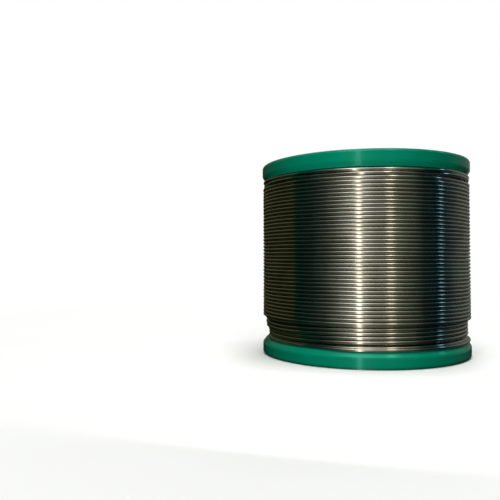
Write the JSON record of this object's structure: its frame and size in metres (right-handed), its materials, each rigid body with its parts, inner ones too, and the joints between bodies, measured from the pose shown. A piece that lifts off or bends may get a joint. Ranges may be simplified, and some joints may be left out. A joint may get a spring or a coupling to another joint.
{
  "type": "solder wire spool",
  "caption": "Flanged plastic spool with a central bore and a paper face label, wound full with flux-cored solder wire.",
  "frame": {"origin": "centre of the foot, on the surface that the lower flange stands on", "axes": "+Z up along the spool's axis, towards the labelled flange; +Y is up on the label's print and +X its right"},
  "size_m": [0.062, 0.062, 0.0571],
  "materials": {
    "flange_plastic": "moulded green styrene, semi-gloss, fine handling scratches",
    "hub_plastic": "moulded green styrene, glossy tube wall",
    "label_paper": null,
    "label_ink_black": "black thermal print, greeked, no readable text",
    "label_ink_green": "solid green printed bar",
    "label_ink_red": null,
    "solder": "drawn tin-copper solder wire, satin, slightly oxidised",
    "flux": "amber rosin flux, seen only at the cut end of the wire"
  },
  "bodies": {
    "root": {"lower_flange": "flange_plastic", "upper_flange": "flange_plastic", "bore_sleeve": "hub_plastic", "winding_drum": "hub_plastic", "face_label": "label_paper", "wire_layer_01": "solder", "wire_layer_02": "solder", "wire_layer_03": "solder", "wire_layer_04": "solder", "wire_layer_05": "solder", "wire_layer_06": "solder", "wire_layer_07": "solder", "wire_layer_08": "solder", "wire_layer_09": "solder", "wire_layer_10": "solder", "wire_layer_11": "solder", "wire_layer_12": "solder", "wire_layer_13": "solder", "wire_layer_14": "solder", "wire_layer_15": "solder"}
  },
  "joints": []
}
